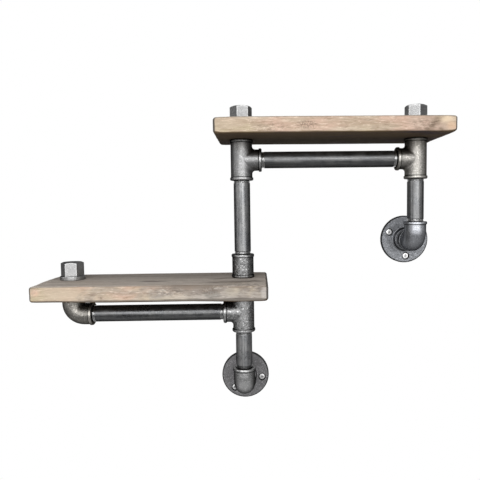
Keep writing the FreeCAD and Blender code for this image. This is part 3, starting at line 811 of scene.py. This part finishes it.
def shade_places(node):
    """Where painted shade goes on a casting: behind a fitting's beads, or round a flange's screws and
    edge.
    """
    if node in MOUTHS:
        return {"grooves": bead_backs(node)}
    if node in SCREW_TURNS:
        low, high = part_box(node)
        middle = ((low.x + high.x) / 2, (low.z + high.z) / 2)
        sinks = [(place.x, place.z) for place in screw_places(node)]
        return {"edges": [(middle, (high.x - low.x) / 2)], "sinks": sinks}
    return {}


def dress(node, material):
    mesh = nodes[node].data
    mesh.materials.clear()
    mesh.materials.append(material)


def dress_metal():
    for node, (dark, light, roughness, extras) in CASTINGS.items():
        looks = {**extras, **shade_places(node)}
        dress(node, cast_iron(f"{node}_iron", dark, light, roughness, **looks))
    for node in nodes:
        if "pipe" in node or "nipple" in node:
            dress(node, pipe_steel(f"{node}_steel", *STEELS.get(node, HIDDEN_STEEL)))


# ---------------------------------------------------------------- boards

HOLE_RADIUS = 14.0 * MM
HOLE_STEPS = 72
FINE_STEP = 0.7 * MM
COARSE_STEP = 2.2 * MM
ARRIS_ZONE = 7.0 * MM
ARRIS_RADIUS = 2.3 * MM
END_RADIUS = 4.6 * MM
END_ZONE = (2 * MM, 14 * MM)  # from a board's end, where its wider rounding runs out
UNDER_ROUNDING = 1.05
# Scales of the wear's noises a metre, along X, Y and Z, and how far each one goes.
KNOCKS = (28, 45, 90)
KNOCK_SHARE = 0.3  # of the rounding
NICKS = (75, 75, 120)
NICK_LEVEL = 0.48
NICK_DEPTH = 3 * MM
GRAIN = (9, 210, 210)
GRAIN_HEIGHT = 0.10 * MM
SWELL = (6, 14, 14)
SWELL_HEIGHT = 0.35 * MM
# What a board's seed moves the noises by.
WEAR_DRIFT = Vector((3.1, 1.7, 2.3))
FACE_DRIFT = Vector((7.7, 1.0, -1.0))
CLAMPED_RADIUS = 24.0 * MM  # round a hole's axis, where the board stays flat
FREE_RADIUS = 64.0 * MM  # from where it is warped in full
FRONT_ZONE = (60 * MM, 140 * MM)  # off the wall, where the warp comes in
# The upper board's bow: its height, what its top adds, and where it begins and ends along X.
BOW = 0.3 * MM
TOP_BOW = 0.6 * MM
TOP_BOW_SHARE = 0.4  # of what the top adds, from end to end
TOP_ZONE = (413 * MM, 430 * MM)
BOW_START = (-45 * MM, 0.0)
BOW_END = (250 * MM, 327 * MM)
# The lower board's droop, what the right adds, and the belly beneath its middle.
DROOP = 1.3 * MM
RIGHT_DROOP = 2.3 * MM
RIGHT_ZONE = (-90 * MM, 30 * MM)
BELLY = 1.1 * MM
BELLY_ZONE = (164 * MM, 178 * MM)
BELLY_START = (-290 * MM, -200 * MM)
BELLY_END = (-20 * MM, 20 * MM)
SHARP = math.radians(38)


def stations(low, high):
    """Places from low to high, close together near both ends."""
    places = [low + FINE_STEP * step for step in range(round(ARRIS_ZONE / FINE_STEP) + 1)]
    ends = [high + low - place for place in reversed(places)]
    middle = high - low - 2 * ARRIS_ZONE
    count = max(2, round(middle / COARSE_STEP))
    first, last = places[-1], ends[0]
    inner = [first + (last - first) * step / count for step in range(1, count)]
    return places + inner + ends


def box_surface(low, high):
    """Vertices and faces of a box's surface on a lattice of stations."""
    lines = [stations(low[axis], high[axis]) for axis in range(3)]
    last = [len(line) - 1 for line in lines]
    index = {}
    points = []

    def vertex(i, j, k):
        key = (i, j, k)
        if key not in index:
            index[key] = len(points)
            points.append(Vector((lines[0][i], lines[1][j], lines[2][k])))
        return index[key]

    faces = []
    for axis in range(3):
        first, second = [other for other in range(3) if other != axis]
        for side in (0, last[axis]):
            for a in range(last[first]):
                for b in range(last[second]):
                    corners = []
                    for da, db in ((0, 0), (1, 0), (1, 1), (0, 1)):
                        key = [0, 0, 0]
                        key[axis], key[first], key[second] = side, a + da, b + db
                        corners.append(vertex(*key))
                    outward = (axis != 1) == (side != 0)
                    faces.append(corners if outward else corners[::-1])
    return points, faces


def noise_at(point, scales, drift):
    """Noise from -1 to 1 at a point, scaled along each axis and moved by a drift."""
    return noise.noise(Vector([part * scale for part, scale in zip(point, scales)]) + drift)


def wear(point, low, high, seed):
    """Rounds a lattice point over the board's worn arrises; gives its place and the way out."""
    drift = WEAR_DRIFT * seed
    from_end = min(point.x - low.x, high.x - point.x)
    radius = END_RADIUS + (ARRIS_RADIUS - END_RADIUS) * smooth_share(from_end, *END_ZONE)
    radius *= 1.0 + KNOCK_SHARE * noise_at(point, KNOCKS, drift)
    if point.z < (low.z + high.z) / 2:
        radius *= UNDER_ROUNDING
    radius += max(0.0, noise_at(point, NICKS, -drift) - NICK_LEVEL) * NICK_DEPTH
    inner = [min(max(point[axis], low[axis] + radius), high[axis] - radius) for axis in range(3)]
    away = point - Vector(inner)
    outward = away.normalized()
    return Vector(inner) + outward * min(away.length, radius), outward


def make_board(node, holes, warp, seed, material):
    """A worn board that stands for a CAD board, flat where it is clamped and warped elsewhere."""
    low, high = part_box(node)
    points, faces = box_surface(low, high)
    drift = FACE_DRIFT * seed
    placed = []
    for point in points:
        rounded, outward = wear(point, low, high, seed)
        distance = min((Vector((point.x, point.y)) - hole).length for hole in holes)
        free = smooth_share(distance, CLAMPED_RADIUS, FREE_RADIUS)
        grain = GRAIN_HEIGHT * noise_at(point, GRAIN, drift)
        swell = SWELL_HEIGHT * noise_at(point, SWELL, -drift)
        rounded += outward * free * (grain + swell)
        rounded.z += free * warp(rounded)
        placed.append(rounded)
    mesh = bpy.data.meshes.new(f"worn_{node}")
    mesh.from_pydata(placed, [], faces)
    mesh.materials.append(material)
    piece = bpy.data.objects.new(f"worn_{node}", mesh)
    scene.collection.objects.link(piece)
    for hole in holes:
        bore(piece, hole, low.z, high.z)
    shade(piece)
    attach(piece, "root")
    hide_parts(node)


def bore(piece, centre, low, high):
    """Cuts an upright round hole through a piece."""
    form = bmesh.new()
    bmesh.ops.create_cone(
        form,
        cap_ends=True,
        segments=HOLE_STEPS,
        radius1=HOLE_RADIUS,
        radius2=HOLE_RADIUS,
        depth=(high - low) * 2,
        matrix=Matrix.Translation((centre.x, centre.y, (low + high) / 2)),
    )
    mesh = bpy.data.meshes.new("cutter")
    form.to_mesh(mesh)
    form.free()
    cutter = bpy.data.objects.new("cutter", mesh)
    scene.collection.objects.link(cutter)
    cut = piece.modifiers.new("hole", "BOOLEAN")
    cut.operation = "DIFFERENCE"
    cut.solver = "EXACT"
    cut.object = cutter
    apply_modifiers(piece)
    bpy.data.objects.remove(cutter)
    bpy.data.meshes.remove(mesh)


def apply_modifiers(piece):
    graph = bpy.context.evaluated_depsgraph_get()
    mesh = bpy.data.meshes.new_from_object(piece.evaluated_get(graph))
    old = piece.data
    piece.modifiers.clear()
    piece.data = mesh
    bpy.data.meshes.remove(old)


def shade(piece):
    """Smooth shading that keeps edges sharper than a set angle."""
    form = bmesh.new()
    form.from_mesh(piece.data)
    for face in form.faces:
        face.smooth = True
    for edge in form.edges:
        edge.smooth = len(edge.link_faces) == 2 and edge.calc_face_angle() < SHARP
    form.to_mesh(piece.data)
    form.free()


def hole_centres(*names):
    """Places of upright pipes' axes, from their nodes' boxes."""
    centres = []
    for name in names:
        low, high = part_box(name)
        centres.append(Vector(((low.x + high.x) / 2, (low.y + high.y) / 2)))
    return centres


def upper_warp(place):
    """The upper board's front edge bows upwards a little between the ends."""
    front = smooth_share(-place.y, *FRONT_ZONE)
    bowed = smooth_share(place.x, *BOW_START) * (1 - smooth_share(place.x, *BOW_END))
    top = smooth_share(place.z, *TOP_ZONE)
    return front * (BOW * bowed + TOP_BOW * top * (TOP_BOW_SHARE + (1 - TOP_BOW_SHARE) * bowed))


def lower_warp(place):
    """The lower board's front edge droops, most at the right, and is thicker along its middle."""
    front = smooth_share(-place.y, *FRONT_ZONE)
    droop = DROOP + RIGHT_DROOP * smooth_share(place.x, *RIGHT_ZONE)
    middle = smooth_share(place.x, *BELLY_START) * (1 - smooth_share(place.x, *BELLY_END))
    beneath = 1 - smooth_share(place.z, *BELLY_ZONE)
    return -front * (droop + BELLY * middle * beneath)


def add_boards():
    upper_holes = hole_centres("upper_left_board_nipple", "upper_right_board_nipple")
    lower_holes = hole_centres("lower_left_board_nipple", "lower_right_board_nipple")
    upper = board_wood(
        "upper_board_wood",
        "upper_shelf_board",
        pith=(-0.10, 0.30),
        grey_zone=(0.24, 0.29, 0.0),
        knots=[((0.2905, 0.421), 0.9, (9 * MM, 17 * MM)), ((0.302, 0.4125), -0.6, (4 * MM, 3 * MM))],
        sawn_place=((0.1006, 0.421), (21 * MM, 9 * MM)),
        scuff_places=[((0.047, 0.417), (32 * MM, 9 * MM)), ((0.272, 0.420), (24 * MM, 12 * MM))],
        checks=[((0.05, 0.11), -0.10)],
        skirt=(3.4 * MM, (0.12, 0.082, 0.050, 1.0)),
        tints=[
            (((0.308, 0.429), (17 * MM, 9 * MM)), (0.80, 0.64, 0.46, 1.0), 0.75),
            (((0.318, 0.418), (10 * MM, 8 * MM)), (0.72, 0.50, 0.33, 1.0), 0.5),
            (((0.262, 0.424), (16 * MM, 12 * MM)), (0.52, 0.41, 0.33, 1.0), 0.5),
            (((-0.02, 0.424), (36 * MM, 9 * MM)), (0.59, 0.49, 0.37, 1.0), 0.55),
        ],
        soils=[],
    )
    lower = board_wood(
        "lower_board_wood",
        "lower_shelf_board",
        pith=(-0.05, 0.33),
        grey_zone=(-0.18, -0.09, 0.95),
        knots=[((-0.212, 0.164), -0.2, (1.7 * MM, 1.9 * MM))],
        sawn_place=((-0.05, 0.174), (20 * MM, 8 * MM)),
        scuff_places=[((0.0, 0.180), (60 * MM, 4 * MM)), ((-0.11, 0.172), (30 * MM, 10 * MM))],
        checks=[((-0.055, 0.030), -0.112), ((-0.052, -0.016), -0.082), ((-0.160, -0.125), -0.104)],
        skirt=(2.0 * MM, (0.13, 0.115, 0.10, 1.0)),
        tints=[
            (((-0.311, 0.174), (9 * MM, 7 * MM)), (0.80, 0.52, 0.40, 1.0), 0.6),
            (((-0.27, 0.170), (45 * MM, 16 * MM)), (0.60, 0.495, 0.375, 1.0), 0.65),
        ],
        soils=[
            (((-0.072, 0.183), (56 * MM, 10 * MM)), (0.215, 0.18, 0.15, 1.0), 0.85),
            (((-0.045, 0.168), (13 * MM, 8 * MM)), (0.19, 0.18, 0.165, 1.0), 0.5),
            (((-0.014, 0.173), (13 * MM, 9 * MM)), (0.56, 0.50, 0.40, 1.0), 0.35),
            (((-0.10, 0.164), (30 * MM, 5 * MM)), (0.60, 0.53, 0.44, 1.0), 0.45),
            (((0.036, 0.168), (7 * MM, 14 * MM)), (0.60, 0.56, 0.52, 1.0), 0.5),
        ],
    )
    make_board("upper_shelf_board", upper_holes, upper_warp, 1, upper)
    make_board("lower_shelf_board", lower_holes, lower_warp, 2, lower)


# ---------------------------------------------------------------- threads

THREAD_PITCH = 1.814 * MM
THREAD_START = 0.25 * MM  # from the fitting's mouth
THREAD_END = 4.9 * MM
THREAD_ROOT = 12.70 * MM
THREAD_CREST = 13.42 * MM
THREAD_CORE = 12.30 * MM
THREAD_FLANK = (0.12, 0.88)  # shares of half a pitch between which the flank rises
THREAD_RUN_OUT = 1.6 * MM  # before the end, where the grooves run out
THREAD_FADE = 0.9 * MM  # after the start, where the ridges come in
THREAD_TURN_STEPS = 72
THREAD_ROWS = 34
# A pipe, the fitting at its lower end and the one at its upper end, and the axis it runs along.
PIPE_RUNS = [
    ("lower_rail_pipe", "lower_left_elbow", "lower_tee", 0),
    ("upper_rail_pipe", "upper_left_tee", "upper_right_tee", 0),
    ("upper_wall_nipple", "upper_wall_elbow", "upper_wall_flange", 1),
    ("lower_wall_nipple", "lower_wall_elbow", "lower_wall_flange", 1),
    ("lower_drop_pipe", "lower_wall_elbow", "lower_tee", 2),
    ("riser_pipe", "riser_socket", "upper_left_tee", 2),
    ("upper_drop_pipe", "upper_wall_elbow", "upper_right_tee", 2),
]
UPRIGHT = 2  # the axis of the runs along Z


def thread_radius(distance, turn):
    """Radius of the cut surface at a distance from the fitting's mouth and a share of a turn round."""
    phase = (distance / THREAD_PITCH - turn) % 1.0
    flank = 1.0 - abs(2.0 * phase - 1.0)
    run_out = smooth_share(distance, THREAD_END - THREAD_RUN_OUT, THREAD_END)
    depth = max(smooth_share(flank, *THREAD_FLANK), run_out)
    start = smooth_share(distance, THREAD_START, THREAD_START + THREAD_FADE)
    return THREAD_ROOT + (THREAD_CREST - THREAD_ROOT) * depth * start


def make_thread(name, mouth, outward, material):
    """A short helical thread as a closed sleeve over a pipe's neck, from the mouth outwards."""
    turned = outward.to_track_quat("Z", "Y").to_matrix()
    steps = range(THREAD_TURN_STEPS)
    form = bmesh.new()
    rows = []
    for row in range(THREAD_ROWS + 1):
        distance = THREAD_START + (THREAD_END - THREAD_START) * row / THREAD_ROWS
        rows.append([(thread_radius(distance, step / THREAD_TURN_STEPS), distance) for step in steps])
    rows.append([(THREAD_CORE, THREAD_END)] * THREAD_TURN_STEPS)
    rows.append([(THREAD_CORE, THREAD_START)] * THREAD_TURN_STEPS)
    rings = []
    for row in rows:
        ring = []
        for step, (radius, distance) in enumerate(row):
            angle = math.tau * step / THREAD_TURN_STEPS
            place = Vector((radius * math.cos(angle), radius * math.sin(angle), distance))
            ring.append(form.verts.new(mouth + turned @ place))
        rings.append(ring)
    for lower, upper in zip(rings, rings[1:] + rings[:1]):
        for step in steps:
            after = (step + 1) % THREAD_TURN_STEPS
            form.faces.new((lower[step], lower[after], upper[after], upper[step]))
    finish_form(form, name, material)


def finish_form(form, name, material):
    """Turns a bmesh into a smooth shaded piece that rides on the frame."""
    mesh = bpy.data.meshes.new(name)
    form.to_mesh(mesh)
    form.free()
    mesh.materials.append(material)
    piece = bpy.data.objects.new(name, mesh)
    scene.collection.objects.link(piece)
    shade(piece)
    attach(piece, "root")


def add_threads():
    cut = bright_steel("thread_steel", 0.85, 0.24, 0.8)
    dull = bright_steel("dull_thread_steel", 0.20, 0.34, 0.7)
    # The threads at an upright pipe's upper end, under a bead, get painted shade that reaches further.
    hooded = bright_steel("hooded_thread_steel", 0.85, 0.24, 0.95, 6 * MM)
    for pipe, first, second, axis in PIPE_RUNS:
        low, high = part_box(pipe)
        outward = Vector((0.0, 0.0, 0.0))
        outward[axis] = 1.0
        for end, fitting, side, sign in (("start", first, 1, 1), ("end", second, 0, -1)):
            mouth = (low + high) / 2
            mouth[axis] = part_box(fitting)[side][axis]
            if "wall" in pipe or (pipe, end) == ("lower_drop_pipe", "start"):
                steel = dull
            elif axis == UPRIGHT and end == "end":
                steel = hooded
            else:
                steel = cut
            make_thread(f"{pipe}_{end}_thread", mouth, outward * sign, steel)


# ---------------------------------------------------------------- wall screws

PLATE_FACE = -6.5 * MM
HEAD_SINK = 1.7 * MM
HEAD_RADIUS = 4.8 * MM
HEAD_DOME = 0.35 * MM
HEAD_EDGE = 0.3 * MM
HEAD_RINGS = 20
SHANK_RADIUS = 2.6 * MM
TIP_PLACE = -0.3 * MM
TIP_LENGTH = 0.8 * MM
TIP_SHARE = 0.55
RECESS_REACH = (1.485 * MM, 2.7 * MM)  # along an arm, where its floor rises to the head
RECESS_WALL = (0.6 * MM, 0.9375 * MM)  # off an arm's middle, where its side rises
RECESS_DEPTH = 1.6 * MM
SCREW_STEPS = 96


def recess(radius, angle):
    """Depth of the cross recess at a place on the screw's head."""
    x, z = abs(radius * math.cos(angle)), abs(radius * math.sin(angle))
    wall = 1.0 - smooth_share(min(x, z), *RECESS_WALL)
    reach = 1.0 - smooth_share(max(x, z), *RECESS_REACH)
    return RECESS_DEPTH * wall * reach


def make_screw(name, place, material):
    """A countersunk screw on -Y: a slightly domed head with a cross recess, its cone and its shank."""
    face = PLATE_FACE + HEAD_SINK
    neck = face + HEAD_EDGE
    rings = []
    for step in range(1, HEAD_RINGS + 1):
        radius = HEAD_RADIUS * step / HEAD_RINGS
        rings.append((radius, face - HEAD_DOME * (1 - (radius / HEAD_RADIUS) ** 2), True))
    rings += [
        (HEAD_RADIUS, neck, False),
        (SHANK_RADIUS, neck + HEAD_RADIUS - SHANK_RADIUS, False),
        (SHANK_RADIUS, TIP_PLACE - TIP_LENGTH, False),
        (SHANK_RADIUS * TIP_SHARE, TIP_PLACE, False),
    ]
    form = bmesh.new()
    centre = form.verts.new(place + Vector((0, face - HEAD_DOME + RECESS_DEPTH, 0)))
    made = []
    for radius, depth, on_head in rings:
        ring = []
        for step in range(SCREW_STEPS):
            angle = math.tau * step / SCREW_STEPS
            sunk = recess(radius, angle) if on_head else 0.0
            corner = Vector((radius * math.cos(angle), depth + sunk, radius * math.sin(angle)))
            ring.append(form.verts.new(place + corner))
        made.append(ring)
    for step in range(SCREW_STEPS):
        after = (step + 1) % SCREW_STEPS
        form.faces.new((centre, made[0][step], made[0][after]))
        for inner, outer in zip(made, made[1:]):
            form.faces.new((inner[step], outer[step], outer[after], inner[after]))
    form.faces.new(list(reversed(made[-1])))
    bmesh.ops.recalc_face_normals(form, faces=form.faces)
    finish_form(form, name, material)


def add_screws():
    steel = bright_steel("screw_steel", 0.95, 0.44, 0.75)
    for flange in SCREW_TURNS:
        for number, place in enumerate(screw_places(flange)):
            make_screw(f"{flange}_screw_{number + 1}", place, steel)


# ---------------------------------------------------------------- making


add_camera()
add_stage()
add_lights()
dress_metal()
add_boards()
add_threads()
add_screws()
